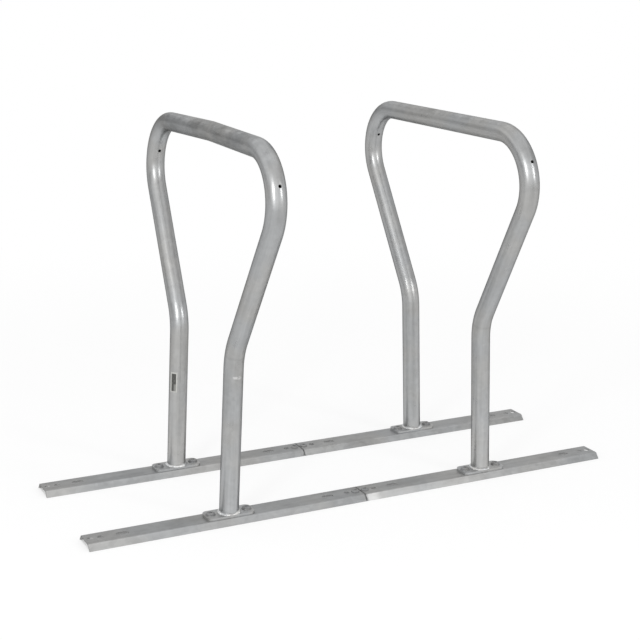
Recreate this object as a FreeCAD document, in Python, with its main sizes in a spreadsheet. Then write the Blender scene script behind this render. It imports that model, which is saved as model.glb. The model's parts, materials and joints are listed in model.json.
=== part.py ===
import FreeCAD, Part
import math
import os
import Sketcher
from FreeCAD import Placement, Rotation, Vector

# A bike rack of two bent tube hoops on two long flat rails.
# X runs along the rails, Y from the front rail to the rear one, Z up from the ground.
# The origin is on the ground, under the middle of the rack.

doc = FreeCAD.newDocument("hoop_bike_rack")
sheet = doc.addObject("Spreadsheet::Sheet", "Sizes")

SIZES = {
    # hoop tube and its bends, heights above the ground
    "tube_diameter": 48.3,
    "tube_wall": 2.9,
    "leg_spacing": 360,
    "knee_height": 420,
    "flare_angle": 30.5,
    "knee_radius": 140,
    "shoulder_radius": 120,
    "hoop_height": 948,
    "hoop_lean": 2.3,
    "bar_fall_left": 1.3,
    "bar_fall_right": 0,
    "crown_radius": 300,
    "vent_diameter": 8,
    "vent_angle_left": 21,
    "vent_angle_right": 26,
    # rail sections, folded from strip, open below
    "section_length": 724,
    "section_gap": 1.5,
    "web_width": 56,
    "base_width": 80,
    "rail_height": 15,
    "rail_thickness": 3,
    "fold_radius": 4,
    "end_hole_inset": 13,
    "end_hole_step": 25,
    "slot_inset": 92,
    "slot_length": 30,
    "slot_width": 14,
    # foot plates under the legs
    "plate_length": 125,
    "plate_inset": 2,
    "plate_thickness": 6,
    "plate_corner": 14,
    "drain_diameter": 16,
    "foot_screw_inset": 15,
    # screws, washers and nuts
    "screw_diameter": 12,
    "hole_play": 1,
    "screw_head": 21,
    "screw_head_height": 3.6,
    "screw_rim": 1.2,
    "screw_flat": 14,
    "screw_chamfer": 1,
    "socket_width": 8,
    "socket_depth": 2.6,
    "screw_stick_out": 2.5,
    "washer_diameter": 24,
    "washer_play": 0.5,
    "washer_thickness": 2.5,
    "nut_width": 18,
    "nut_height": 6,
    "thread_play": 0.3,
    # blank label on a leg, its height counted along the leg
    "label_width": 20,
    "label_height": 54,
    "label_from_ground": 226,
    "label_turn": 40,
    "label_thickness": 0.3,
    "label_gap": 0.05,
    # splice bars under the rail joints
    "splice_end": 16.25,
    "splice_side_gap": 8,
    "splice_thickness": 6,
}

for row, (alias, number) in enumerate(SIZES.items(), start=1):
    sheet.set("A%d" % row, alias)
    sheet.set("B%d" % row, str(number))
    sheet.setAlias("B%d" % row, alias)
doc.recompute()


class Size:
    """A length or angle with the sheet expression that gives it."""

    def __init__(self, number, text):
        self.number = number
        self.text = text

    def joined(self, sign, other, number):
        other = asSize(other)
        return Size(number, "(%s %s %s)" % (self.text, sign, other.text))

    def __add__(self, other):
        return self.joined("+", other, self.number + asSize(other).number)

    def __sub__(self, other):
        return self.joined("-", other, self.number - asSize(other).number)

    def __mul__(self, other):
        return self.joined("*", other, self.number * asSize(other).number)

    def __truediv__(self, other):
        return self.joined("/", other, self.number / asSize(other).number)

    def __neg__(self):
        return Size(-self.number, "(-1 * %s)" % self.text)


def asSize(value):
    """A plain number as a Size, or the Size itself."""
    return value if isinstance(value, Size) else Size(float(value), repr(float(value)))


def size(alias):
    """The named size from the sheet."""
    return Size(float(sheet.get(alias)), "Sizes." + alias)


def turned(name, angle):
    """sin, cos or tan of an angle in degrees."""
    return Size(getattr(math, name)(math.radians(angle.number)), "%s(%s * 1deg)" % (name, angle.text))


# Sizes that more than one piece follows
tubeRadius = size("tube_diameter") / 2
legY = size("leg_spacing") / 2
hoopX = (size("section_length") + size("section_gap")) / 2
webTop = size("rail_height")
webUnder = webTop - size("rail_thickness")
plateTop = webTop + size("plate_thickness")
washerTop = plateTop + size("washer_thickness")
footScrewX = size("plate_length") / 2 - size("foot_screw_inset")
sectionEnd = size("section_length") / 2
endHoleX = sectionEnd - size("end_hole_inset")
spliceHoleX = size("section_gap") / 2 + size("end_hole_inset")
screwHole = size("screw_diameter") + size("hole_play") * 2
washerHole = size("screw_diameter") + size("washer_play") * 2
threadHole = size("screw_diameter") + size("thread_play") * 2

parts = []


def newBody(label):
    """An empty body that becomes one piece of the rack."""
    body = doc.addObject("PartDesign::Body", label)
    body.Label = label
    parts.append(body)
    return body


def newSketch(body, name, role):
    """A sketch on one of the body's own origin planes."""
    sketch = body.newObject("Sketcher::SketchObject", name)
    planes = [f for f in body.Origin.OriginFeatures if f.Role == role]
    sketch.AttachmentSupport = [(planes[0], "")]
    sketch.MapMode = "FlatFace"
    return sketch


def fix(sketch, kind, geometry, point, value):
    """Fixes a point's DistanceX or DistanceY from the sketch's origin by a sheet size."""
    index = sketch.addConstraint(Sketcher.Constraint(kind, -1, 1, geometry, point, value.number))
    sketch.setExpression("Constraints[%d]" % index, value.text)


def pin(sketch, geometry, point, x, y):
    """Fixes a point of the sketch at (x, y) from its origin."""
    fix(sketch, "DistanceX", geometry, point, asSize(x))
    fix(sketch, "DistanceY", geometry, point, asSize(y))


def drive(sketch, kind, geometry, value):
    """Sets a radius or diameter of the sketch from a sheet size."""
    index = sketch.addConstraint(Sketcher.Constraint(kind, geometry, value.number))
    sketch.setExpression("Constraints[%d]" % index, value.text)


def addPolygon(sketch, corners):
    """A closed polygon through the corners."""
    flat = [Vector(asSize(x).number, asSize(y).number, 0) for x, y in corners]
    lines = []
    for here, there in zip(flat, flat[1:] + flat[:1]):
        lines.append(sketch.addGeometry(Part.LineSegment(here, there), False))
    for line, after in zip(lines, lines[1:] + lines[:1]):
        sketch.addConstraint(Sketcher.Constraint("Coincident", line, 2, after, 1))
    for line, (x, y) in zip(lines, corners):
        pin(sketch, line, 1, x, y)


def addCircle(sketch, x, y, diameter):
    """A circle about (x, y)."""
    x, y = asSize(x), asSize(y)
    centre = Vector(x.number, y.number, 0)
    circle = sketch.addGeometry(Part.Circle(centre, Vector(0, 0, 1), diameter.number / 2), False)
    pin(sketch, circle, 3, x, y)
    drive(sketch, "Diameter", circle, diameter)


def arcBetween(one, other, centre):
    """The short circular arc about centre that joins two points, anticlockwise."""
    first, last = [math.atan2(spot.y - centre.y, spot.x - centre.x) for spot in (one, other)]
    if (last - first) % (2 * math.pi) > math.pi:
        first, last = last, first
    circle = Part.Circle(centre, Vector(0, 0, 1), (one - centre).Length)
    return Part.ArcOfCircle(circle, first, last)


def endAt(sketch, geometry, spot):
    """Which end of a line or arc lies at the spot: 1 for its start, 2 for its end."""
    return 1 if (sketch.Geometry[geometry].StartPoint - spot).Length < 1e-6 else 2


def joinEnds(sketch, before, after, spot):
    """Ties the two ends that meet at the spot."""
    ends = (before, endAt(sketch, before, spot), after, endAt(sketch, after, spot))
    sketch.addConstraint(Sketcher.Constraint("Coincident", *ends))


def addPad(body, sketch, name, length):
    """The sketch made solid, up from its plane."""
    pad = body.newObject("PartDesign::Pad", name)
    pad.Profile = sketch
    pad.Length = length.number
    pad.setExpression("Length", length.text)
    sketch.Visibility = False
    return pad


def addPocket(body, sketch, name):
    """The sketch cut right through the body, above its plane."""
    pocket = body.newObject("PartDesign::Pocket", name)
    pocket.Profile = sketch
    pocket.Type = 1
    pocket.Reversed = True
    sketch.Visibility = False


def addPrimitive(body, kind, name, sizes, placement=Placement()):
    """A cylinder or prism added to the body or taken from it, with its sizes bound to the sheet."""
    primitive = body.newObject("PartDesign::" + kind, name)
    primitive.Placement = placement
    for prop, value in sizes.items():
        setattr(primitive, prop, value.number)
        primitive.setExpression(prop, value.text)


def addHexagon(body, kind, name, across, height, z):
    """A hexagonal prism of the given width across flats, from height z."""
    corner = across / 2 / turned("cos", Size(30.0, "30"))
    addPrimitive(body, kind, name, {"Circumradius": corner, "Height": height},
                 Placement(Vector(0, 0, z.number), Rotation()))


def place(body, x, y, z, rotation=Rotation()):
    """Puts a finished piece in the rack, its position bound to the sheet."""
    spot = [asSize(x), asSize(y), asSize(z)]
    body.Placement = Placement(Vector(*[value.number for value in spot]), rotation)
    for axis, value in zip("xyz", spot):
        body.setExpression(".Placement.Base." + axis, value.text)


def hoopPathPoints(fall):
    """Ends and centres of the straight and bent stretches of half a hoop, as (y, z) from the foot up.

    The top bar falls by the given angle from its middle to each shoulder."""
    flare = size("flare_angle")
    sine, cosine = turned("sin", flare), turned("cos", flare)
    fallSine, fallCosine, fallTangent = [turned(name, fall) for name in ("sin", "cos", "tan")]
    peakZ = size("hoop_height") - tubeRadius
    kneeTangent = size("knee_radius") * turned("tan", flare / 2)
    shoulderTangent = size("shoulder_radius") * turned("tan", (flare + 90 - fall) / 2)
    crownTangent = size("crown_radius") * fallTangent
    # the corner where the flare's line meets the top bar's
    cornerY = (legY + (peakZ - size("knee_height")) * sine / cosine) / (fallTangent * sine / cosine + 1)
    cornerZ = peakZ - cornerY * fallTangent
    shoulderStart = (cornerY - shoulderTangent * sine, cornerZ - shoulderTangent * cosine)
    return {
        "foot": (legY, Size(0.0, "0")),
        "kneeStart": (legY, size("knee_height") - kneeTangent),
        "kneeEnd": (legY + kneeTangent * sine, size("knee_height") + kneeTangent * cosine),
        "shoulderStart": shoulderStart,
        "shoulderEnd": (cornerY - shoulderTangent * fallCosine, cornerZ + shoulderTangent * fallSine),
        "crownStart": (crownTangent * fallCosine, peakZ - crownTangent * fallSine),
        "kneeCentre": (legY + size("knee_radius"), size("knee_height") - kneeTangent),
        "shoulderCentre": (shoulderStart[0] - size("shoulder_radius") * cosine,
                           shoulderStart[1] + size("shoulder_radius") * sine),
        "crownCentre": (Size(0.0, "0"), peakZ - size("crown_radius") / fallCosine),
    }


def drawHoopPath(sketch, fall):
    """The tube's centre line: front leg, bends, top bar, bends, rear leg."""
    spots = hoopPathPoints(fall)
    order = ["foot", "kneeStart", "kneeEnd", "shoulderStart", "shoulderEnd"]
    if fall.number:
        order.append("crownStart")
    front = [(name, -1) for name in order]
    rear = [(name, 1) for name in reversed(order)]
    last = 2 * len(order) - 2
    bends = {1: ("kneeCentre", -1, "knee_radius"), 3: ("shoulderCentre", -1, "shoulder_radius"),
             last - 3: ("shoulderCentre", 1, "shoulder_radius"), last - 1: ("kneeCentre", 1, "knee_radius")}
    if fall.number:
        bends[5] = ("crownCentre", 1, "crown_radius")

    def flat(name, side):
        return Vector(side * spots[name][0].number, spots[name][1].number, 0)

    stations = front + rear
    edges = []
    for index, (here, there) in enumerate(zip(stations, stations[1:])):
        if index in bends:
            centreName, side, radius = bends[index]
            curve = arcBetween(flat(*here), flat(*there), flat(centreName, side))
        else:
            curve = Part.LineSegment(flat(*here), flat(*there))
        edges.append(sketch.addGeometry(curve, False))
    for before, after, station in zip(edges, edges[1:], stations[1:]):
        joinEnds(sketch, before, after, flat(*station))
    for index, edge in enumerate(edges):
        if index in bends:
            drive(sketch, "Radius", edge, size(bends[index][2]))
            continue
        for point, (name, side) in ((1, stations[index]), (2, stations[index + 1])):
            pin(sketch, edge, point, spots[name][0] * side, spots[name][1])
    return ["Edge%d" % (number + 1) for number in range(len(edges))]


def makeHoop(label, side, ventAngle, fall):
    """One bent tube, cut off flush with its foot plates, with a vent drilled through each shoulder."""
    body = newBody(label)
    section = newSketch(body, label + "_section", "XY_Plane")
    for diameter in (size("tube_diameter"), size("tube_diameter") - size("tube_wall") * 2):
        addCircle(section, 0, -legY, diameter)
    path = newSketch(body, label + "_path", "YZ_Plane")
    edges = drawHoopPath(path, fall)
    doc.recompute()
    pipe = body.newObject("PartDesign::AdditivePipe", label + "_tube")
    pipe.Profile = section
    pipe.Spine = (path, edges)
    pipe.Mode = "Standard"
    section.Visibility = path.Visibility = False
    doc.recompute()

    # everything under the foot plates' top face goes, on a line that leans against the tube
    lean = size("hoop_lean")
    reach = size("tube_diameter")
    rise = reach * turned("tan", lean)
    level = plateTop / turned("cos", lean)
    foot = newSketch(body, label + "_foot_line", "XZ_Plane")
    addPolygon(foot, [(-reach, -reach), (reach, -reach), (reach, level + rise), (-reach, level - rise)])
    trim = body.newObject("PartDesign::Pocket", label + "_foot_cut")
    trim.Profile = foot
    trim.Type = 1
    trim.SideType = "Symmetric"
    foot.Visibility = False
    doc.recompute()

    # the vents run outwards from the middle of each shoulder bend, through both walls of the tube
    centreY, centreZ = hoopPathPoints(fall)["shoulderCentre"]
    vent = {"Radius": size("vent_diameter") / 2, "Height": size("shoulder_radius") + size("tube_diameter")}
    for end, name in ((-1, "_front_vent"), (1, "_rear_vent")):
        aim = Rotation(Vector(1, 0, 0), end * (ventAngle.number - 90))
        spot = Vector(0, end * centreY.number, centreZ.number)
        addPrimitive(body, "SubtractiveCylinder", label + name, vent, Placement(spot, aim))
        doc.recompute()
    turn = Rotation(Vector(0, 0, 1), 0 if side < 0 else 180)
    place(body, hoopX * side, 0, 0, turn * Rotation(Vector(0, 1, 0), lean.number))


def makeLabel(label):
    """A blank label bent round the left hoop's rear leg, facing outwards along the rack."""
    body = newBody(label)
    bore = tubeRadius + size("label_gap")
    width = size("label_width") / bore * (180 / math.pi)
    wedge = {"Radius": bore + size("label_thickness"), "Height": size("label_height"), "Angle": width}
    addPrimitive(body, "AdditiveCylinder", label + "_wedge", wedge)
    doc.recompute()
    hollow = {"Radius": bore, "Height": size("label_height")}
    addPrimitive(body, "SubtractiveCylinder", label + "_bore", hollow)
    lean, up = size("hoop_lean"), size("label_from_ground")
    start = Rotation(Vector(0, 0, 1), 180 + size("label_turn").number - width.number / 2)
    place(body, up * turned("sin", lean) - hoopX, legY, up * turned("cos", lean),
          Rotation(Vector(0, 1, 0), lean.number) * start)


def railProfile():
    """The folded strip's outline as (y, z): a flat web with a flange sloping out on each side."""
    halfWeb, halfBase = size("web_width") / 2, size("base_width") / 2
    run = halfBase - halfWeb
    rise = size("rail_height")
    slopeLength = math.hypot(run.number, rise.number)
    slope = Size(slopeLength, "sqrt(pow(%s; 2) + pow(%s; 2))" % (run.text, rise.text))
    sideways = size("rail_thickness") * slope / rise
    foldIn = (slope - run) * size("rail_thickness") / rise
    outer = [(halfBase, Size(0.0, "0")), (halfWeb, rise)]
    inner = [(halfWeb - foldIn, webUnder), (halfBase - sideways, Size(0.0, "0"))]
    left = [(-y, z) for y, z in reversed(outer)]
    return outer + left + [(-y, z) for y, z in reversed(inner)] + inner


def longEdgesAt(shape, y, z):
    """Names of the straight edges along X that pass through (y, z)."""
    names = []
    for index, edge in enumerate(shape.Edges, start=1):
        box = edge.BoundBox
        lengthwise = box.YLength < 1e-6 and box.ZLength < 1e-6
        if lengthwise and abs(box.YMin - y) < 1e-3 and abs(box.ZMin - z) < 1e-3:
            names.append("Edge%d" % index)
    return names


def makeRail(label, side, row):
    """One rail section with its end holes, ground slots and foot screw holes."""
    body = newBody(label)
    outline = newSketch(body, label + "_fold", "YZ_Plane")
    addPolygon(outline, railProfile())
    strip = body.newObject("PartDesign::Pad", label + "_strip")
    strip.Profile = outline
    strip.Length = size("section_length").number
    strip.setExpression("Length", size("section_length").text)
    strip.SideType = "Symmetric"
    outline.Visibility = False
    doc.recompute()

    folds = []
    for sign in (-1, 1):
        folds += longEdgesAt(strip.Shape, sign * size("web_width").number / 2, webTop.number)
    bends = body.newObject("PartDesign::Fillet", label + "_bends")
    bends.Base = (strip, folds)
    bends.Radius = size("fold_radius").number
    bends.setExpression("Radius", size("fold_radius").text)
    doc.recompute()

    holes = newSketch(body, label + "_hole_plan", "XY_Plane")
    for sign in (-1, 1):
        for x in (endHoleX, endHoleX - size("end_hole_step"), footScrewX):
            addCircle(holes, x * sign, 0, screwHole)
        addSlot(holes, (sectionEnd - size("slot_inset")) * sign)
    addPocket(body, holes, label + "_holes")
    place(body, hoopX * side, legY * row, 0)


def addSlot(sketch, x):
    """A slot along X about (x, 0), with round ends."""
    radius = size("slot_width") / 2
    reach = size("slot_length") / 2 - radius
    left, right = x - reach, x + reach
    r = radius.number
    corners = [Vector(right.number, r, 0), Vector(left.number, r, 0),
               Vector(left.number, -r, 0), Vector(right.number, -r, 0)]
    top, bottom = [sketch.addGeometry(Part.LineSegment(corners[i], corners[i + 1]), False) for i in (0, 2)]
    ends = []
    for centreX, quarter in ((left.number, 1), (right.number, 3)):
        circle = Part.Circle(Vector(centreX, 0, 0), Vector(0, 0, 1), r)
        ends.append(sketch.addGeometry(
            Part.ArcOfCircle(circle, quarter * math.pi / 2, (quarter + 2) * math.pi / 2), False))
    ring = [top, ends[0], bottom, ends[1]]
    for before, after, spot in zip(ring, ring[1:] + ring[:1], corners[1:] + corners[:1]):
        joinEnds(sketch, before, after, spot)
    for line, point, x, y in ((top, 1, right, radius), (top, 2, left, radius),
                              (bottom, 1, left, -radius), (bottom, 2, right, -radius)):
        pin(sketch, line, point, x, y)
    for end, x in zip(ends, (left, right)):
        fix(sketch, "DistanceX", end, 3, x)


def makeFootPlate(label, side, row):
    """The plate welded under one leg, with two screw holes and a drain under the tube."""
    body = newBody(label)
    outline = newSketch(body, label + "_outline", "XY_Plane")
    x, y = size("plate_length") / 2, size("web_width") / 2 - size("plate_inset")
    addPolygon(outline, [(-x, -y), (x, -y), (x, y), (-x, y)])
    for sign in (-1, 1):
        addCircle(outline, footScrewX * sign, 0, screwHole)
    addCircle(outline, 0, 0, size("drain_diameter"))
    plate = addPad(body, outline, label + "_plate", size("plate_thickness"))
    doc.recompute()
    corners = []
    for index, edge in enumerate(plate.Shape.Edges, start=1):
        box = edge.BoundBox
        if box.XLength < 1e-6 and box.YLength < 1e-6 and abs(abs(box.XMin) - x.number) < 1e-3:
            corners.append("Edge%d" % index)
    rounds = body.newObject("PartDesign::Fillet", label + "_corners")
    rounds.Base = (plate, corners)
    rounds.Radius = size("plate_corner").number
    rounds.setExpression("Radius", size("plate_corner").text)
    place(body, hoopX * side, legY * row, webTop)


def makeScrew(label, length, x, y, z):
    """A socket screw with a low domed head, which sits at height z."""
    body = newBody(label)
    half = newSketch(body, label + "_half", "XZ_Plane")
    shank, head = size("screw_diameter") / 2, size("screw_head") / 2
    chamfer, rim = size("screw_chamfer"), size("screw_rim")
    flatTop, top = size("screw_flat") / 2, size("screw_head_height")
    corners = [(0, top), (0, -length), (shank - chamfer, -length), (shank, chamfer - length),
               (shank, 0), (head, 0), (head, rim), (flatTop, top)]
    dome = corners.index((head, rim))
    flat = [Vector(asSize(u).number, asSize(v).number, 0) for u, v in corners]
    centreZ = (head.number**2 - flatTop.number**2 + rim.number**2 - top.number**2) / (
        2 * (rim.number - top.number))
    lines = []
    for here, there in zip(flat, flat[1:] + flat[:1]):
        curve = Part.LineSegment(here, there)
        if len(lines) == dome:
            curve = arcBetween(here, there, Vector(0, centreZ, 0))
        lines.append(half.addGeometry(curve, False))
    for before, after, spot in zip(lines, lines[1:] + lines[:1], flat[1:] + flat[:1]):
        joinEnds(half, before, after, spot)
    for line, spot, (u, v) in zip(lines, flat, corners):
        pin(half, line, endAt(half, line, spot), u, v)
    fix(half, "DistanceX", lines[dome], 3, asSize(0))
    doc.recompute()
    turnedSolid = body.newObject("PartDesign::Revolution", label + "_turned")
    turnedSolid.Profile = half
    turnedSolid.ReferenceAxis = (half, ["V_Axis"])
    turnedSolid.Angle = 360
    half.Visibility = False
    doc.recompute()
    addHexagon(body, "SubtractivePrism", label + "_socket", size("socket_width"), size("socket_depth"),
               top - size("socket_depth"))
    place(body, x, y, z)


def makeWasher(label, x, y):
    """A flat washer on the foot plate."""
    body = newBody(label)
    ring = newSketch(body, label + "_ring", "XY_Plane")
    addCircle(ring, 0, 0, size("washer_diameter"))
    addCircle(ring, 0, 0, washerHole)
    addPad(body, ring, label + "_disc", size("washer_thickness"))
    place(body, x, y, plateTop)


def makeNut(label, x, y):
    """A thin hexagon nut against the underside of the rail's web."""
    body = newBody(label)
    addHexagon(body, "AdditivePrism", label + "_hexagon", size("nut_width"), size("nut_height"), asSize(0))
    doc.recompute()
    bore = newSketch(body, label + "_bore_plan", "XY_Plane")
    addCircle(bore, 0, 0, threadHole)
    addPocket(body, bore, label + "_bore")
    place(body, x, y, webUnder - size("nut_height"))


def makeSpliceBar(label, row):
    """The flat bar under a rail joint, with a threaded hole under each end hole of both sections."""
    body = newBody(label)
    outline = newSketch(body, label + "_outline", "XY_Plane")
    spareX = spliceHoleX + size("end_hole_step")
    x, y = spareX + size("splice_end"), size("web_width") / 2 - size("splice_side_gap")
    addPolygon(outline, [(-x, -y), (x, -y), (x, y), (-x, y)])
    for sign in (-1, 1):
        addCircle(outline, spliceHoleX * sign, 0, threadHole)
        addCircle(outline, spareX * sign, 0, threadHole)
    addPad(body, outline, label + "_bar", size("splice_thickness"))
    place(body, 0, legY * row, webUnder - size("splice_thickness"))


sides = {"left": -1, "right": 1}
rows = {"front": -1, "rear": 1}

spliceScrewLength = size("rail_thickness") + size("splice_thickness") + size("screw_stick_out")
footScrewLength = (size("washer_thickness") + size("plate_thickness") + size("rail_thickness")
                   + size("nut_height") + size("screw_stick_out"))

for sideName, side in sides.items():
    makeHoop("hoop_" + sideName, side, size("vent_angle_" + sideName), size("bar_fall_" + sideName))
    for rowName, row in rows.items():
        makeRail("rail_%s_%s" % (rowName, sideName), side, row)
        makeFootPlate("foot_plate_%s_%s" % (sideName, rowName), side, row)
        for name, sign in (("outer", side), ("inner", -side)):
            tail = "%s_%s_%s" % (sideName, rowName, name)
            x = hoopX * side + footScrewX * sign
            y = legY * row
            makeScrew("foot_screw_" + tail, footScrewLength, x, y, washerTop)
            makeWasher("foot_washer_" + tail, x, y)
            makeNut("foot_nut_" + tail, x, y)

makeLabel("blank_label")

for rowName, row in rows.items():
    makeSpliceBar("splice_bar_" + rowName, row)
    for sideName, side in sides.items():
        makeScrew("splice_screw_%s_%s" % (rowName, sideName), spliceScrewLength,
                  spliceHoleX * side, legY * row, webTop)

doc.recompute()

for thing in doc.Objects:
    if "Invalid" in thing.State or "Error" in thing.State:
        raise RuntimeError("%s failed: %s" % (thing.Name, thing.State))

os.makedirs("parts", exist_ok=True)
for body in parts:
    shape = body.Shape
    if shape.isNull() or not shape.isValid() or len(shape.Solids) != 1:
        raise RuntimeError("bad shape in " + body.Label)
    shape.exportStep("parts/%s.step" % body.Label)
    box = shape.BoundBox
    print("%-32s volume %10.0f  x %7.1f %7.1f  y %7.1f %7.1f  z %6.1f %6.1f" % (
        body.Label, shape.Volume, box.XMin, box.XMax, box.YMin, box.YMax, box.ZMin, box.ZMax))
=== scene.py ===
import json
import math

import bpy
import numpy as np
from mathutils import Matrix, Vector


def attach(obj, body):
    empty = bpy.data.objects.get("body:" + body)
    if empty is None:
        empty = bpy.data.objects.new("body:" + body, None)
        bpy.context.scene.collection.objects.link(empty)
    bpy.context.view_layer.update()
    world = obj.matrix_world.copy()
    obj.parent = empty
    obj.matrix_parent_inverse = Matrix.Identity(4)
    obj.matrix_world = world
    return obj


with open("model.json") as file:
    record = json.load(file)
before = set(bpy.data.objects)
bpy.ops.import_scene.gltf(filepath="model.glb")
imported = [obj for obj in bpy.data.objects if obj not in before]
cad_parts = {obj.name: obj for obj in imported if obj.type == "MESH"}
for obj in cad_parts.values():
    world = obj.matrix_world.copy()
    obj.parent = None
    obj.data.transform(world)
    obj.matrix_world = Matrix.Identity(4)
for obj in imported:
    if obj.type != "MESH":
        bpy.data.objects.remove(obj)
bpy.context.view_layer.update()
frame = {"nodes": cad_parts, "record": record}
nodes = frame["nodes"]
print("frame loaded:", len(nodes), "CAD nodes")


# Places on the rack that the floor, the finishes and the beads share, in metres from its middle on the ground

rackPlan = {
    "hoopX": 0.36275,     # the middle of each hoop's feet
    "row": 0.180,         # the legs and the rails' middle lines
    "lean": 2.3,          # degrees that the hoops lean towards each other
    "railEnd": 0.7248,    # each rail section runs from the middle to here
}


# Camera: a hand-held photo from the left front, a little above the rack

cameraSettings = {
    "place": (-1.5568, -3.0408, 1.3166),
    "turn": 26.676,    # degrees from +Y towards +X
    "down": 14.700,    # degrees below the horizon
    "roll": 0.627,
    "lens": 76.73,     # mm
    "sensor": 36,      # mm
}


def makeCamera(settings):
    turn, down, roll = [math.radians(settings[key]) for key in ("turn", "down", "roll")]
    ahead = Vector((math.sin(turn) * math.cos(down), math.cos(turn) * math.cos(down), -math.sin(down)))
    level = Vector((math.cos(turn), -math.sin(turn), 0))
    above = level.cross(ahead)
    right = level * math.cos(roll) + above * math.sin(roll)
    up = above * math.cos(roll) - level * math.sin(roll)
    data = bpy.data.cameras.new("photoCamera")
    data.lens, data.sensor_width = settings["lens"], settings["sensor"]
    camera = bpy.data.objects.new("photoCamera", data)
    axes = Matrix((right, up, -ahead)).transposed().to_4x4()
    camera.matrix_world = Matrix.Translation(settings["place"]) @ axes
    bpy.context.scene.collection.objects.link(camera)
    bpy.context.scene.camera = camera


makeCamera(cameraSettings)
bpy.context.scene.view_settings.view_transform = "Standard"
print("camera set")


# Node helpers: a value is a number or another node's output

def newNode(tree, kind, values=None, **settings):
    node = tree.nodes.new("ShaderNode" + kind)
    for name, value in settings.items():
        setattr(node, name, value)
    for key, value in (values or {}).items():
        if isinstance(value, bpy.types.NodeSocket):
            tree.links.new(value, node.inputs[key])
        else:
            node.inputs[key].default_value = value
    return node


def calc(tree, operation, *values, clamp=False):
    return newNode(tree, "Math", dict(enumerate(values)), operation=operation, use_clamp=clamp).outputs[0]


def plus(tree, base, pattern, share=1.0):
    # base + share x pattern
    return calc(tree, "MULTIPLY_ADD", pattern, share, base)


def vary(tree, base, pattern, share):
    # base + share x (pattern - 0.5), so a pattern round one half leaves the base where it is
    return plus(tree, base, minus(tree, pattern, 0.5), share)


def minus(tree, one, other):
    return calc(tree, "SUBTRACT", one, other)


def times(tree, *values):
    product = values[0]
    for value in values[1:]:
        product = calc(tree, "MULTIPLY", product, value)
    return product


def noSign(tree, value):
    return calc(tree, "ABSOLUTE", value)


def apart(tree, one, other):
    return noSign(tree, minus(tree, one, other))


def length(tree, one, other):
    squares = calc(tree, "ADD", times(tree, one, one), times(tree, other, other))
    return calc(tree, "SQRT", squares)


def weighed(tree, one, oneShare, other, otherShare):
    return calc(tree, "ADD", times(tree, one, oneShare), times(tree, other, otherShare))


def below(tree, value, limit):
    return calc(tree, "LESS_THAN", value, limit)


def over(tree, value, limit):
    return calc(tree, "GREATER_THAN", value, limit)


def choose(tree, test, yes, no):
    return newNode(tree, "Mix", {0: test, 2: no, 3: yes}, data_type="FLOAT").outputs[0]


def spread(tree, value, low, high, start=0.0, end=1.0):
    # value between low and high becomes start to end, with soft ends
    return newNode(tree, "MapRange", {0: value, 1: low, 2: high, 3: start, 4: end},
                   interpolation_type="SMOOTHSTEP").outputs[0]


def noise(tree, vector, scale, detail=4.0, rough=0.55, warp=0.0):
    return newNode(tree, "TexNoise", {"Vector": vector, "Scale": scale, "Detail": detail,
                                      "Roughness": rough, "Distortion": warp}).outputs["Fac"]


def blend(tree, factor, one, other):
    node = newNode(tree, "Mix", {0: factor}, data_type="RGBA")
    for index, colour in ((6, one), (7, other)):
        if isinstance(colour, bpy.types.NodeSocket):
            tree.links.new(colour, node.inputs[index])
        else:
            node.inputs[index].default_value = (*colour, 1)
    return node.outputs[2]


def xyz(tree, vector):
    return newNode(tree, "SeparateXYZ", {0: vector}).outputs


def objectPlace(tree):
    return newNode(tree, "TexCoord").outputs["Object"]


def stretched(tree, place, x, y, z):
    # the place with its axes squeezed, so that a pattern runs long where its share is small
    return newNode(tree, "Mapping", {"Vector": place, "Scale": (x, y, z)}).outputs[0]


# Studio: a white floor, a soft sky that is brightest behind the camera, and two front lamps

skySettings = {
    "heading": 26.676,            # degrees from +Y towards +X
    # strength ahead, to the right, behind and to the left of that heading
    "low": (0.79, 1.13, 1.50, 0.54),
    "middle": (0.85, 0.65, 1.50, 1.13),
    "overhead": 1.0,
    # heights on a dome of radius 1 between which one band gives way to the next
    "lowToMiddle": (0.12, 0.45),
    "middleToOverhead": (0.50, 0.85),
    "leastLevel": 0.0001,         # keeps the division below from a zero straight overhead
}

lampSettings = {
    "target": (0, 0, 0.55),
    "width": 0.60,
    "height": 1.00,
    # name, place, watts
    "lamps": [("leftLamp", (-2.70, -2.30, 1.95), 26), ("rightLamp", (1.69, -3.12, 1.95), 17)],
}

floorSettings = {
    "reach": 60,
    "depth": -0.0005,          # just under the rails' edges
    "colour": (0.88, 0.88, 0.88),
    "paperLight": 0.68,        # share of plain white that the camera and the metal see
    "whiteFrom": 1.2,          # m from the middle, where the floor starts to turn plain white
    "whiteTo": 3.2,
    "railHalf": 0.040,         # under the rails the paper's white glow is dimmed: painted shade
    "railSoft": 0.004,
    "paintedShadeUnderRail": 0.30,         # share of that white which is left there, as painted shade
}


def makeLamps(settings):
    for name, place, watts in settings["lamps"]:
        data = bpy.data.lights.new(name, "AREA")
        data.shape, data.size, data.size_y = "RECTANGLE", settings["width"], settings["height"]
        data.energy = watts
        lamp = bpy.data.objects.new(name, data)
        lamp.location = place
        aim = Vector(settings["target"]) - Vector(place)
        lamp.rotation_euler = aim.to_track_quat("-Z", "Y").to_euler()
        bpy.context.scene.collection.objects.link(lamp)


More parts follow.
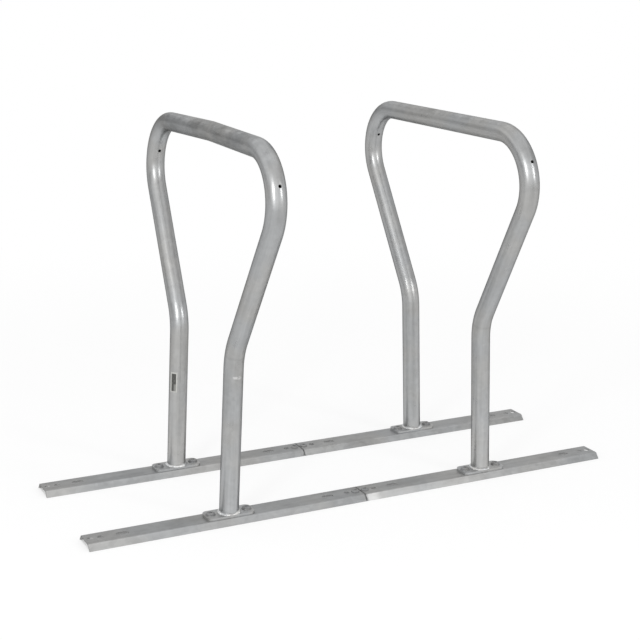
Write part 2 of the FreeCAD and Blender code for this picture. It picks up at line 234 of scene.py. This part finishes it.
def makeSky(settings):
    # three bands by height; the lower two also change round the compass
    world = bpy.data.worlds.new("studioSky")
    world.use_nodes = True
    tree = world.node_tree
    tree.nodes.clear()
    ray = xyz(tree, newNode(tree, "TexCoord").outputs["Generated"])
    level = calc(tree, "MAXIMUM", length(tree, ray[0], ray[1]), settings["leastLevel"])
    low = spread(tree, ray[2], *settings["lowToMiddle"], 1.0, 0.0)
    high = spread(tree, ray[2], *settings["middleToOverhead"])
    middle = minus(tree, minus(tree, 1.0, low), high)
    strength = times(tree, high, settings["overhead"])
    for step in range(4):
        turn = math.radians(settings["heading"] + 90 * step)
        facing = weighed(tree, ray[0], math.sin(turn), ray[1], math.cos(turn))
        facing = calc(tree, "MAXIMUM", calc(tree, "DIVIDE", facing, level), 0.0)
        both = weighed(tree, low, settings["low"][step], middle, settings["middle"][step])
        strength = plus(tree, strength, times(tree, facing, facing), both)
    sky = newNode(tree, "Background", {0: (1, 1, 1, 1), 1: strength})
    newNode(tree, "OutputWorld", {0: sky.outputs[0]})
    bpy.context.scene.world = world


def makeFloor(settings):
    reach, depth = settings["reach"], settings["depth"]
    mesh = bpy.data.meshes.new("floor")
    corners = [(x * reach, y * reach, depth) for x, y in ((-1, -1), (1, -1), (1, 1), (-1, 1))]
    mesh.from_pydata(corners, [], [(0, 1, 2, 3)])
    floor = bpy.data.objects.new("floor", mesh)
    bpy.context.scene.collection.objects.link(floor)
    material = bpy.data.materials.new("floorPaper")
    material.use_nodes = True
    tree = material.node_tree
    tree.nodes.clear()
    spot = xyz(tree, objectPlace(tree))
    white = spread(tree, length(tree, spot[0], spot[1]),
                   settings["whiteFrom"], settings["whiteTo"], settings["paperLight"], 1.0)
    # how far outside a rail's outline the spot lies: below zero is under the rail
    besideRail = minus(tree, apart(tree, noSign(tree, spot[1]), rackPlan["row"]), settings["railHalf"])
    beyondEnd = minus(tree, noSign(tree, spot[0]), rackPlan["railEnd"])
    outside = calc(tree, "MAXIMUM", besideRail, beyondEnd)
    # painted shade: the white glow is dimmed under the rails
    left = spread(tree, outside, -settings["railSoft"], 0.0, settings["paintedShadeUnderRail"], 1.0)
    path = newNode(tree, "LightPath").outputs
    seen = calc(tree, "MAXIMUM", path["Is Camera Ray"],
                calc(tree, "MAXIMUM", path["Is Glossy Ray"], path["Is Transmission Ray"]))
    paper = newNode(tree, "BsdfDiffuse", {0: (*settings["colour"], 1)})
    glow = newNode(tree, "Emission", {0: (1, 1, 1, 1), 1: 1.0})
    mix = newNode(tree, "MixShader", {0: times(tree, white, left, seen),
                                      1: paper.outputs[0], 2: glow.outputs[0]})
    newNode(tree, "OutputMaterial", {0: mix.outputs[0]})
    mesh.materials.append(material)


makeLamps(lampSettings)
makeSky(skySettings)
makeFloor(floorSettings)
print("studio set")


# Where a point lies on a hoop: along the tube's middle line, outwards in the hoop's plane, and sideways

hoopRoute = {
    "kneeHeight": 0.420, "flare": 30.5, "kneeRadius": 0.140, "shoulderRadius": 0.120, "barHeight": 0.92385,
}


def hoopStations(route):
    # corner points of half the middle line as (y, z), and how far along the tube each one is
    flare = math.radians(route["flare"])
    kneeTangent = route["kneeRadius"] * math.tan(flare / 2)
    shoulderTangent = route["shoulderRadius"] * math.tan((flare + math.pi / 2) / 2)
    rise = route["barHeight"] - route["kneeHeight"]
    cornerY = rackPlan["row"] + rise * math.tan(flare)
    kneeStart = route["kneeHeight"] - kneeTangent
    kneeEnd = kneeStart + route["kneeRadius"] * flare
    flareLength = rise / math.cos(flare) - kneeTangent - shoulderTangent
    shoulderStart = kneeEnd + flareLength
    return {
        "flare": flare, "kneeStart": kneeStart, "kneeEnd": kneeEnd, "flareLength": flareLength,
        "shoulderStart": shoulderStart,
        "shoulderEnd": shoulderStart + route["shoulderRadius"] * (flare + math.pi / 2),
        "kneeCentre": (rackPlan["row"] + route["kneeRadius"], kneeStart),
        "kneeOut": (rackPlan["row"] + kneeTangent * math.sin(flare),
                    route["kneeHeight"] + kneeTangent * math.cos(flare)),
        "shoulderCentre": (cornerY - shoulderTangent, route["barHeight"] - route["shoulderRadius"]),
    }


def alongHoop(tree, place):
    route, at = hoopRoute, hoopStations(hoopRoute)
    lean = math.radians(rackPlan["lean"])
    world = xyz(tree, place)
    offset = minus(tree, noSign(tree, world[0]), rackPlan["hoopX"])
    sideways = weighed(tree, offset, math.cos(lean), world[2], math.sin(lean))
    up = weighed(tree, world[2], math.cos(lean), offset, -math.sin(lean))
    out = noSign(tree, world[1])

    def arc(centre, first, turn):
        # distance from the arc's centre, and angle past the arc's start
        y = times(tree, minus(tree, out, centre[0]), turn)
        z = minus(tree, up, centre[1])
        return length(tree, y, z), plus(tree, first, calc(tree, "ARCTAN2", z, y))

    kneeReach, kneeAngle = arc(at["kneeCentre"], 0.0, -1.0)
    shoulderReach, shoulderAngle = arc(at["shoulderCentre"], at["flare"], 1.0)
    sine, cosine = math.sin(at["flare"]), math.cos(at["flare"])
    kneeOut, kneeUp = [minus(tree, value, corner) for value, corner in zip((out, up), at["kneeOut"])]
    flareAlong = weighed(tree, kneeOut, sine, kneeUp, cosine)
    flareOut = weighed(tree, kneeOut, cosine, kneeUp, -sine)

    # it starts as the shoulder, and each stretch below overrules those above it: flare, knee, leg, bar
    along = plus(tree, at["shoulderStart"], shoulderAngle, route["shoulderRadius"])
    outwards = minus(tree, shoulderReach, route["shoulderRadius"])
    inBar = times(tree, below(tree, out, at["shoulderCentre"][0]), over(tree, up, at["shoulderCentre"][1]))
    stretches = [
        (below(tree, flareAlong, at["flareLength"]), plus(tree, at["kneeEnd"], flareAlong), flareOut),
        (below(tree, flareAlong, 0.0), plus(tree, at["kneeStart"], kneeAngle, route["kneeRadius"]),
         minus(tree, route["kneeRadius"], kneeReach)),
        (below(tree, up, at["kneeStart"]), up, minus(tree, out, rackPlan["row"])),
        (inBar, minus(tree, at["shoulderEnd"] + at["shoulderCentre"][0], out),
         minus(tree, up, route["barHeight"])),
    ]
    for inStretch, itsAlong, itsOutwards in stretches:
        along = choose(tree, inStretch, itsAlong, along)
        outwards = choose(tree, inStretch, itsOutwards, outwards)
    return along, outwards, sideways


# Zinc finishes: a tone from dark to pale carries clouds, crystals and lengthwise streaks

tubeFinish = {
    "dark": (0.232, 0.233, 0.233), "pale": (0.518, 0.521, 0.520), "rough": 0.32, "metallic": 0.9,
    "edge": 0.25, "cloudScale": 26, "clouds": 0.32, "crystalScale": 95, "crystals": 0.10,
    "streakScale": 110, "streaks": 0.55, "grain": 0.10, "bump": 0.30, "hueScale": 9, "waves": 0.0007,
    "dustAndTopLight": 0.36,    # how dull faces that look up are, and how pale their film: dust and a painted highlight from above
    "underside": 0.20,    # painted light: tone added to faces that look down
}
railFinish = {
    "dark": (0.230, 0.231, 0.231), "pale": (0.510, 0.512, 0.512), "rough": 0.40, "metallic": 0.9,
    "edge": 0.8, "cloudScale": 30, "clouds": 0.40, "crystalScale": 80, "crystals": 0.14,
    "streakScale": 80, "streaks": 0.40, "grain": 0.12, "bump": 0.30, "hueScale": 5, "waves": 0.0012,
}
plateFinish = {
    "dark": (0.255, 0.256, 0.256), "pale": (0.555, 0.557, 0.556), "rough": 0.46, "metallic": 0.85,
    "edge": 0.8, "cloudScale": 60, "clouds": 0.50, "crystalScale": 120, "crystals": 0.12,
    "streakScale": 40, "streaks": 0.20, "grain": 0.16, "bump": 0.45, "hueScale": 14, "waves": 0.0012,
}
# the splice bar is paler than the plate: bright plated zinc, and painted light where it shows in shade
# through the rails' holes
barFinish = dict(plateFinish, dark=(0.36, 0.361, 0.361), pale=(0.70, 0.702, 0.70), cloudScale=45)
washerFinish = {
    "dark": (0.25, 0.25, 0.252), "pale": (0.54, 0.54, 0.542), "rough": 0.42, "metallic": 0.9,
    "edge": 0.6, "cloudScale": 130, "clouds": 0.50, "crystalScale": 400, "crystals": 0.06,
    "streakScale": 200, "streaks": 0.15, "grain": 0.10, "bump": 0.20, "hueScale": 40, "waves": 0.0012,
}
nutFinish = dict(washerFinish, rough=0.46)
screwFinish = dict(washerFinish, dark=(0.10, 0.10, 0.101), pale=(0.52, 0.52, 0.522), rough=0.60)
beadFinish = {
    "dark": (0.24, 0.24, 0.242), "pale": (0.86, 0.862, 0.86), "rough": 0.32, "metallic": 0.88,
    "edge": 0.7, "cloudScale": 70, "clouds": 1.20, "crystalScale": 300, "crystals": 0.10,
    "streakScale": 200, "streaks": 0.10, "grain": 0.16, "bump": 0.45, "hueScale": 60, "waves": 0.0012,
}

zincRecipe = {
    # detail, roughness and warp of each pattern
    "cloudNoise": (5, 0.6, 0.4), "patchNoise": (3, 0.5), "streakNoise": (3, 0.6),
    "patchScale": 0.3, "patchShare": 0.6,          # patches are wide clouds, measured by the clouds
    "grainScale": 900,
    "cloudGloss": 0.22, "crystalGloss": 0.05,      # how far clouds and crystals change the roughness
    # which way a face looks: 1 is straight up, -1 straight down, and clouds make the border patchy
    "patchy": 0.8, "looksUp": (0.55, 1.0), "looksDown": (-0.75, -0.10),
    # the pale film is dust and painted top light in one; faces that look down get painted light
    "dustAndTopLightTone": 0.30, "weatheredRough": 0.12,
    "hueBorder": (0.36, 0.64), "cool": (0.985, 0.999, 1.012), "warm": (1.010, 1.002, 0.985),
    # pale bare metal; on the rails' hole walls it is painted light
    "bareMetalAndPaintedLight": (0.86, 0.86, 0.85),
    "waveScale": 0.45,                             # waves are wide streaks
    "pitDepth": 0.00012, "grainDepth": 0.00008, "grainBump": 0.6,
}


def zinc(name, look, streakSpace, marks=None):
    # galvanised or plated metal; marks change its tone and roughness by place, and turn it pale where bright:
    # bare metal, and painted light on the rails' hole walls
    recipe = zincRecipe
    material = bpy.data.materials.new(name)
    material.use_nodes = True
    tree = material.node_tree
    shader = tree.nodes["Principled BSDF"]
    shader.inputs["Metallic"].default_value = look["metallic"]
    shader.inputs["Specular Tint"].default_value = (look["edge"],) * 3 + (1,)
    place = objectPlace(tree)
    streakPlace = streakSpace(tree, place)
    clouds = noise(tree, place, look["cloudScale"], *recipe["cloudNoise"])
    patches = noise(tree, place, look["cloudScale"] * recipe["patchScale"], *recipe["patchNoise"])
    cells = newNode(tree, "TexVoronoi", {"Vector": place, "Scale": look["crystalScale"]})
    crystals = newNode(tree, "SeparateColor", {0: cells.outputs["Color"]}).outputs[0]
    streaks = noise(tree, streakPlace, look["streakScale"], *recipe["streakNoise"])
    grain = noise(tree, place, recipe["grainScale"], 2)
    tone = 0.5
    patterns = {"clouds": clouds, "crystals": crystals, "streaks": streaks, "grain": grain}
    for share, pattern in patterns.items():
        tone = vary(tree, tone, pattern, look[share])
    tone = vary(tree, tone, patches, look["clouds"] * recipe["patchShare"])
    rough = vary(tree, look["rough"], clouds, recipe["cloudGloss"])
    rough = vary(tree, rough, crystals, recipe["crystalGloss"])
    if marks:
        tone, rough, bright = marks(tree, place, tone, rough)
    if "dustAndTopLight" in look:
        # faces that look up get a dull pale film, dust and a painted highlight from above in one; faces that
        # look down are painted paler, painted light from below
        normal = xyz(tree, newNode(tree, "NewGeometry").outputs["Normal"])
        looks = vary(tree, normal[2], clouds, recipe["patchy"])
        film = spread(tree, looks, *recipe["looksUp"], 0.0, look["dustAndTopLight"])
        tone = plus(tree, tone, film, recipe["dustAndTopLightTone"])
        tone = plus(tree, tone, spread(tree, looks, *recipe["looksDown"], 1.0, 0.0), look["underside"])
        rough = plus(tree, rough, film, recipe["weatheredRough"])
        tree.links.new(minus(tree, look["metallic"], film), shader.inputs["Metallic"])
    tone = calc(tree, "ADD", tone, 0.0, clamp=True)

    def tinted(tint):
        dark, pale = [[value * share for value, share in zip(look[end], tint)] for end in ("dark", "pale")]
        return blend(tree, tone, dark, pale)

    # cool and warm greys lie over each other in soft patches
    hue = spread(tree, noise(tree, place, look["hueScale"], 2), *recipe["hueBorder"])
    colour = blend(tree, hue, tinted(recipe["cool"]), tinted(recipe["warm"]))
    if marks:
        # pale where bright: bare metal, and painted light on the rails' hole walls
        colour = blend(tree, bright, colour, recipe["bareMetalAndPaintedLight"])
    tree.links.new(colour, shader.inputs["Base Color"])
    tree.links.new(rough, shader.inputs["Roughness"])
    waves = noise(tree, streakPlace, look["streakScale"] * recipe["waveScale"], 2)
    bumps = newNode(tree, "Bump", {"Strength": look["bump"], "Distance": look["waves"], "Height": waves})
    bumps = newNode(tree, "Bump", {"Strength": look["bump"], "Distance": recipe["pitDepth"],
                                   "Height": clouds, "Normal": bumps.outputs[0]})
    bumps = newNode(tree, "Bump", {"Strength": look["bump"] * recipe["grainBump"],
                                   "Distance": recipe["grainDepth"], "Height": grain,
                                   "Normal": bumps.outputs[0]})
    tree.links.new(bumps.outputs[0], shader.inputs["Normal"])
    return material


lengthwise = 0.05    # a streak pattern sees this share of the way along, so streaks are twenty times as long


def tubeStreaks(tree, place):
    # streaks follow the tube round every bend
    along, outwards, sideways = alongHoop(tree, place)
    squeezed = times(tree, along, lengthwise)
    return newNode(tree, "CombineXYZ", {0: sideways, 1: outwards, 2: squeezed}).outputs[0]


def railStreaks(tree, place):
    return stretched(tree, place, lengthwise, 1, 1)


def evenly(tree, place):
    return place


# Marks on the tubes

bendMark = {
    "along": 0.3655,              # how far up the leg it lies
    "half": (0.0018, 0.00468),    # half its height: full to here, gone there
    "span": (0.00825, 0.0110),    # half its width in the same way
    "sideShift": 0.001,
    "facing": (0.010, 0.018),     # only on the leg's outer side
    "wanderScale": 120, "wander": 0.004,
    "brokenScale": 110, "broken": (0.42, 0.56, 0.15, 1.0),
    "bright": 0.42, "faint": 0.10, "gloss": -0.08,
}
tubeWear = {
    "ringAbove": 0.052, "ringHalf": (0.001, 0.006), "ringTone": -0.10,
    "bar": (0.24, 0.30), "barAbove": 0.86,
    "patchScale": 32, "patchLong": 0.35, "patches": (0.40, 0.62), "patchTone": -0.22,
    "weldHeat": (0.024, 0.050), "heatScale": 90, "heatTone": 0.22, "heatRough": 0.10,
    # painted light from the floor: legs paler towards their feet
    "paintedFootLight": (0.05, 0.34, 0.20, 0.0),
}


def tubeMarks(tree, place, tone, rough):
    # a pale bright mark lies just under each knee, plainest on the left front leg, and a darker ring above
    # it; the left bar has dark patches; legs are painted paler towards their feet, painted light from the
    # floor, and mottled by the welds
    mark, wear = bendMark, tubeWear
    along, outwards, sideways = alongHoop(tree, place)
    world = xyz(tree, place)
    wander = minus(tree, noise(tree, place, mark["wanderScale"], 2), 0.5)
    level = noSign(tree, plus(tree, minus(tree, along, mark["along"]), wander, mark["wander"]))
    line = spread(tree, level, *mark["half"], 1.0, 0.0)
    facing = spread(tree, outwards, *mark["facing"])
    inside = spread(tree, apart(tree, sideways, mark["sideShift"]), *mark["span"], 1.0, 0.0)
    broken = spread(tree, noise(tree, place, mark["brokenScale"], 2), *mark["broken"])
    onLeft = below(tree, world[0], 0.0)
    plainest = times(tree, onLeft, below(tree, world[1], 0.0))
    bright = times(tree, line, facing, inside, broken,
                   choose(tree, plainest, mark["bright"], mark["faint"]))
    ring = spread(tree, apart(tree, along, mark["along"] + wear["ringAbove"]), *wear["ringHalf"], 1.0, 0.0)
    tone = plus(tree, tone, ring, wear["ringTone"])
    leftBar = times(tree, spread(tree, noSign(tree, world[1]), *wear["bar"], 1.0, 0.0),
                    onLeft, over(tree, world[2], wear["barAbove"]))
    patches = noise(tree, stretched(tree, place, 1, wear["patchLong"], 1), wear["patchScale"], 4, 0.6)
    tone = plus(tree, tone, times(tree, leftBar, spread(tree, patches, *wear["patches"])), wear["patchTone"])
    heat = spread(tree, along, *wear["weldHeat"], 1.0, 0.0)
    tone = plus(tree, tone, times(tree, heat, noise(tree, place, wear["heatScale"], 3)), wear["heatTone"])
    rough = plus(tree, rough, heat, wear["heatRough"])
    rough = plus(tree, rough, bright, mark["gloss"])
    # painted light: legs paler towards their feet
    tone = plus(tree, tone, spread(tree, along, *wear["paintedFootLight"]))
    return tone, rough, bright


# Marks round the screws: foot screws stand to either side of a hoop, splice screws of a joint

screwMarkSettings = {
    "footX": 0.0475, "spliceX": 0.01375,
    # the socket's tone is painted light that lightens its shade
    "socket": (0.0046, 0.0058), "socketPaintedLight": 0.15, "socketRough": 0.3,
    "washerRing": (0.0118, 0.0150), "ringTone": -0.22,
}


def fromScrew(tree, place):
    # distance from the axis of the nearest foot screw or splice screw
    settings = screwMarkSettings
    world = xyz(tree, place)
    fromJoint = noSign(tree, world[0])
    y = minus(tree, noSign(tree, world[1]), rackPlan["row"])
    fromHoop = apart(tree, fromJoint, rackPlan["hoopX"])
    x = calc(tree, "MINIMUM", apart(tree, fromHoop, settings["footX"]),
             apart(tree, fromJoint, settings["spliceX"]))
    return length(tree, x, y)


def screwMarks(tree, place, tone, rough):
    # the socket is rougher than the head, and painted a little paler, which lightens the shade in it
    settings = screwMarkSettings
    socket = spread(tree, fromScrew(tree, place), *settings["socket"], 1.0, 0.0)
    tone = plus(tree, tone, socket, settings["socketPaintedLight"])
    rough = plus(tree, rough, socket, settings["socketRough"])
    return tone, rough, 0.0


def plateMarks(tree, place, tone, rough):
    # darker in a ring round each washer
    settings = screwMarkSettings
    ring = spread(tree, fromScrew(tree, place), *settings["washerRing"], 1.0, 0.0)
    return plus(tree, tone, ring, settings["ringTone"]), rough, 0.0


# Marks on the rails

railPaintedShading = {
    # painted light and shade: tone added to the flanges at each section's left end and at its right end, and
    # to its web
    "frontLeft": (0.16, -0.30, -0.12), "frontRight": (0.20, -0.18, -0.04),
    "rearLeft": (0.24, -0.12, -0.14), "rearRight": (0.00, -0.22, -0.07),
    "flangeFrom": (0.0270, 0.0295),    # how far from the rail's middle line web gives way to flange
}
railWear = {
    "fold": 0.0285, "foldHalf": (0.0008, 0.0030), "foldTone": 0.16,
    "rubScale": 60, "rubLong": 0.3,
    "stainScale": 22, "stainLong": 0.4, "stains": (0.52, 0.66), "stainTone": -0.10, "stainRough": 0.06,
    "cut": (0.0016, 0.0036), "raggedScale": 190, "ragged": 0.008, "cutTone": -0.80, "endFrom": 0.7244,
    # the front right section is rubbed bright beside the joint: from here to there, on its front flange
    "rubbedFrom": (0.003, 0.008), "rubbedTo": (0.026, 0.046), "rubbedFlange": (0.0285, 0.0300),
    "rubbed": (0.3, 0.6, 0.25, 0.45),
}
paintedLightInOpenings = {
    # painted light on the walls of the holes and slots: between the web's two faces, away from the flanges
    # and the sections' ends
    "above": 0.0121, "below": 0.0149, "across": 0.020, "fromJoint": 0.003, "untilEnd": 0.7225,
    "bright": 0.35,
}


def paintedSectionShading(tree, world, across):
    # painted light and shade: each section's flanges fade lighter or darker along its length, and its web is
    # a little darker
    isLeft = below(tree, world[0], 0.0)
    isFront = below(tree, world[1], 0.0)
    share = plus(tree, isLeft, world[0], 1 / rackPlan["railEnd"])
    leftEnd, rightEnd, web = [
        choose(tree, isLeft,
               choose(tree, isFront, railPaintedShading["frontLeft"][index], railPaintedShading["rearLeft"][index]),
               choose(tree, isFront, railPaintedShading["frontRight"][index], railPaintedShading["rearRight"][index]))
        for index in range(3)]
    flange = plus(tree, leftEnd, share, minus(tree, rightEnd, leftEnd))
    return choose(tree, spread(tree, across, *railPaintedShading["flangeFrom"]), flange, web)


def railMarks(tree, place, tone, rough):
    # the folds are rubbed paler, and run-off has left soft dark stains; the strip's cut ends are dark, its
    # outer end faces dark cut steel and painted shade in one; the walls of its holes and slots carry painted
    # light
    wear, walls = railWear, paintedLightInOpenings
    world = xyz(tree, place)
    across = apart(tree, noSign(tree, world[1]), rackPlan["row"])
    fromJoint = noSign(tree, world[0])
    # painted light and shade along each rail section
    tone = plus(tree, tone, paintedSectionShading(tree, world, across))
    rubbed = noise(tree, stretched(tree, place, wear["rubLong"], 1, 1), wear["rubScale"], 3)
    fold = spread(tree, apart(tree, across, wear["fold"]), *wear["foldHalf"], 1.0, 0.0)
    tone = plus(tree, tone, times(tree, fold, rubbed), wear["foldTone"])
    stains = noise(tree, stretched(tree, place, wear["stainLong"], 1, 1), wear["stainScale"], 4, 0.6)
    stain = spread(tree, stains, *wear["stains"])
    tone = plus(tree, tone, stain, wear["stainTone"])
    rough = plus(tree, rough, stain, wear["stainRough"])
    ragged = vary(tree, fromJoint, noise(tree, place, wear["raggedScale"], 3), wear["ragged"])
    tone = plus(tree, tone, spread(tree, ragged, *wear["cut"], 1.0, 0.0), wear["cutTone"])
    # the outer end faces: dark cut steel and painted shade in one
    tone = plus(tree, tone, over(tree, fromJoint, wear["endFrom"]), wear["cutTone"])
    bright = times(tree, spread(tree, world[0], *wear["rubbedFrom"]),
                   spread(tree, world[0], *wear["rubbedTo"], 1.0, 0.0),
                   spread(tree, across, *wear["rubbedFlange"]), below(tree, world[1], -rackPlan["row"]),
                   spread(tree, rubbed, *wear["rubbed"]))
    # painted light lightens the walls of the holes and slots
    litOpeningWall = times(tree, over(tree, world[2], walls["above"]), below(tree, world[2], walls["below"]),
                   below(tree, across, walls["across"]), over(tree, fromJoint, walls["fromJoint"]),
                   below(tree, fromJoint, walls["untilEnd"]))
    return tone, rough, plus(tree, bright, litOpeningWall, walls["bright"])


# Label: a blank dark film inside a pale rim, scuffed at its lower front corner

labelFinish = {
    "film": (0.055, 0.055, 0.051), "worn": (0.24, 0.24, 0.228), "rim": (0.43, 0.43, 0.41),
    # the film inside its rim: heights, and degrees round the leg from -X towards -Y
    "bottom": 0.2293, "top": 0.2763, "turnFrom": 24.6, "turnTo": 55.4, "soft": 0.0005, "softTurn": 1.2,
    "scuffTop": 0.2483, "scuffFrom": 41.0, "softScuff": 3.6,
    "scratchScale": 260, "scratchLong": 0.6, "scratches": (0.56, 0.76), "scuffs": (0.25, 0.55, 0.5, 0.85),
    "rough": 0.46, "scuffRough": 0.25, "bump": 0.3, "wrinkles": 0.0003,
}


def labelFilm(look):
    material = bpy.data.materials.new("labelFilm")
    material.use_nodes = True
    tree = material.node_tree
    shader = tree.nodes["Principled BSDF"]
    place = objectPlace(tree)
    world = xyz(tree, place)
    height = world[2]
    legX = plus(tree, -rackPlan["hoopX"], height, math.tan(math.radians(rackPlan["lean"])))
    turn = calc(tree, "ARCTAN2", minus(tree, rackPlan["row"], world[1]), minus(tree, legX, world[0]))
    aroundLeg = times(tree, turn, 180 / math.pi)

    def past(value, edge, soft):
        return spread(tree, value, edge - soft, edge + soft)

    upwards = minus(tree, past(height, look["bottom"], look["soft"]), past(height, look["top"], look["soft"]))
    sideways = minus(tree, past(aroundLeg, look["turnFrom"], look["softTurn"]),
                     past(aroundLeg, look["turnTo"], look["softTurn"]))
    scratches = noise(tree, stretched(tree, place, 1, 1, look["scratchLong"]), look["scratchScale"], 4, 0.65)
    corner = times(tree, past(aroundLeg, look["scuffFrom"], look["softScuff"]),
                   minus(tree, 1.0, past(height, look["scuffTop"], look["soft"])))
    worn = calc(tree, "MAXIMUM", spread(tree, scratches, *look["scratches"]),
                times(tree, corner, spread(tree, scratches, *look["scuffs"])))
    colour = blend(tree, times(tree, upwards, sideways), look["rim"],
                   blend(tree, worn, look["film"], look["worn"]))
    tree.links.new(colour, shader.inputs["Base Color"])
    tree.links.new(plus(tree, look["rough"], worn, look["scuffRough"]), shader.inputs["Roughness"])
    wrinkles = newNode(tree, "Bump", {"Strength": look["bump"], "Distance": look["wrinkles"],
                                      "Height": scratches})
    tree.links.new(wrinkles.outputs[0], shader.inputs["Normal"])
    return material


materials = {
    "galvanised_tube": zinc("galvanisedTube", tubeFinish, tubeStreaks, tubeMarks),
    "galvanised_rail": zinc("galvanisedRail", railFinish, railStreaks, railMarks),
    "galvanised_plate": zinc("galvanisedPlate", plateFinish, evenly, plateMarks),
    "galvanised_bar": zinc("galvanisedBar", barFinish, railStreaks),
    "zinc_washer": zinc("zincWasher", washerFinish, evenly),
    "zinc_nut": zinc("zincNut", nutFinish, evenly),
    "screw_steel": zinc("screwSteel", screwFinish, evenly, screwMarks),
    "blank_label": labelFilm(labelFinish),
}
slotOf = {part["node"]: part["material_slot"] for part in frame["record"]["subparts"]}
for name, thing in nodes.items():
    thing.data.materials.clear()
    thing.data.materials.append(materials[slotOf[name]])
print("finishes made:", len(materials))


# Weld beads: one round each leg where it stands on its foot plate

beadSettings = {
    "plateTop": 0.021, "tubeRadius": 0.02415,
    "reach": 0.0046, "rise": 0.0050,         # how far it shows out over the plate and up the tube
    "rootIn": 0.0020, "rootDown": 0.0015,    # how far it sinks into the tube's wall and the plate
    "corner": 1.4,                           # 1 is a round section, more draws its sides in
    "ripples": 50, "ripple": 0.09, "trail": 1.3,
    "lumps": 0.24, "lumpWaves": 5, "lumpShare": (0.3, 1.0), "lumpScale": 1.6,
    "around": 400, "section": 20, "seed": 11,
}


def meshPiece(name, points):
    # a grid of points [row, column, xyz], closed both ways, as one mesh object
    rows, columns = points.shape[:2]
    row, column = np.meshgrid(np.arange(rows), np.arange(columns), indexing="ij")
    nextRow, nextColumn = (row + 1) % rows, (column + 1) % columns
    faces = np.stack([row * columns + column, nextRow * columns + column,
                      nextRow * columns + nextColumn, row * columns + nextColumn], -1).reshape(-1, 4)
    mesh = bpy.data.meshes.new(name)
    mesh.from_pydata(points.reshape(-1, 3).tolist(), [], faces.tolist())
    mesh.polygons.foreach_set("use_smooth", np.ones(len(mesh.polygons), bool))
    mesh.update()
    piece = bpy.data.objects.new(name, mesh)
    bpy.context.scene.collection.objects.link(piece)
    return piece


def makeBead(name, side, row, seed):
    # the section is a rounded three-corner loop, its cosine and sine raised to the corner's power, carried
    # round the leg; its size swells with slow waves (lumps) and with crescents whose phase trails up the
    # tube (ripples)
    look = beadSettings
    turn = np.linspace(0, 2 * np.pi, look["around"], endpoint=False)[:, None]
    loop = np.linspace(0, 2 * np.pi, look["section"], endpoint=False)[None, :]
    outward, upward = np.cos(loop), np.sin(loop)

    def drawnIn(wave):
        return np.sign(wave) * np.abs(wave) ** look["corner"]

    random = np.random.default_rng(seed)
    phases = random.uniform(0, 2 * np.pi, look["lumpWaves"])
    shares = random.uniform(*look["lumpShare"], look["lumpWaves"])
    waves = sum(share * np.sin((step + 2) * turn + phase)
                for step, (share, phase) in enumerate(zip(shares, phases)))
    ripples = np.cos(look["ripples"] * turn + look["trail"] * upward)
    size = 1 + look["lumps"] * waves / look["lumpScale"] + look["ripple"] * ripples
    out = np.where(outward > 0, look["reach"] * size, look["rootIn"]) * drawnIn(outward)
    up = np.where(upward > 0, look["rise"] * size, look["rootDown"]) * drawnIn(upward)
    height = look["plateTop"] + up
    radius = look["tubeRadius"] + out
    x = side * (rackPlan["hoopX"] - height * math.tan(math.radians(rackPlan["lean"]))) + radius * np.cos(turn)
    y = row * rackPlan["row"] + radius * np.sin(turn)
    piece = meshPiece(name, np.stack([x, y, height + 0 * turn], -1))
    piece.data.materials.append(beadMaterial)
    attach(piece, "root")


beadMaterial = zinc("weldBead", beadFinish, evenly)
beadSeed = beadSettings["seed"]
for sideName, side in (("left", -1), ("right", 1)):
    for rowName, row in (("front", -1), ("rear", 1)):
        makeBead("weld_bead_%s_%s" % (sideName, rowName), side, row, beadSeed)
        beadSeed += 1
print("weld beads made")
